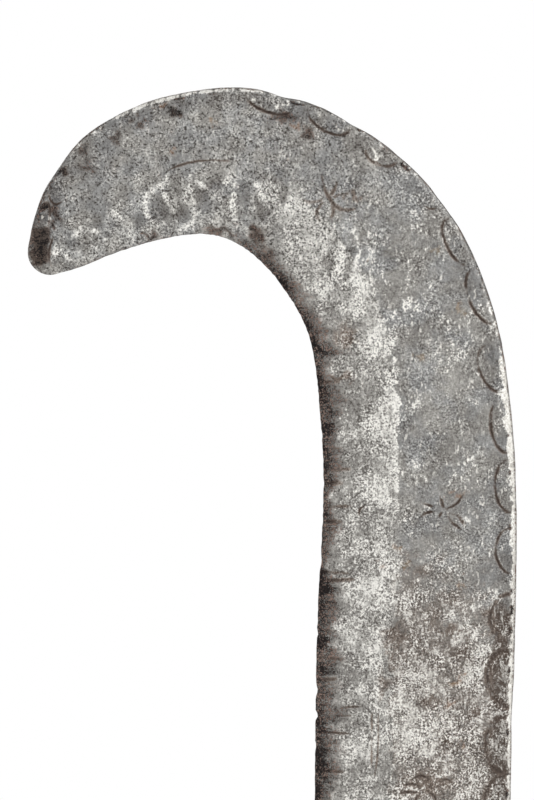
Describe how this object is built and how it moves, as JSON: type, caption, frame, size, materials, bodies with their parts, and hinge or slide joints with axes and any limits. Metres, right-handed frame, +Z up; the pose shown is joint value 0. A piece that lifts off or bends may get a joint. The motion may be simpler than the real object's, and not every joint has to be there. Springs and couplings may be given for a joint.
{
  "type": "billhook",
  "caption": "Hand-forged billhook with a broad hooked blade, a flat tang and riveted wooden cheeks, for lopping and hedging.",
  "frame": {"origin": "middle of the grip, where the hand closes round it", "axes": "+Z up the tool from grip to crown, -X the way the hook points, -Y out of the decorated face"},
  "size_m": [0.1625, 0.0302, 0.4233],
  "materials": {
    "forged_iron": "hand-forged, pitted and worn, grey patina with a brown edge",
    "grip_wood": "hand-worn, oiled, dark with age",
    "rivet_iron": "peened wrought iron, darkened"
  },
  "bodies": {
    "root": {"blade": "forged_iron", "cheek_front": "grip_wood", "cheek_back": "grip_wood", "rivet_1": "rivet_iron", "rivet_2": "rivet_iron", "rivet_3": "rivet_iron", "rivet_4": "rivet_iron", "rivet_5": "rivet_iron", "rove_front_1": "rivet_iron", "rove_front_2": "rivet_iron", "rove_front_3": "rivet_iron", "rove_front_4": "rivet_iron", "rove_front_5": "rivet_iron", "rove_back_1": "rivet_iron", "rove_back_2": "rivet_iron", "rove_back_3": "rivet_iron", "rove_back_4": "rivet_iron", "rove_back_5": "rivet_iron"}
  },
  "joints": []
}
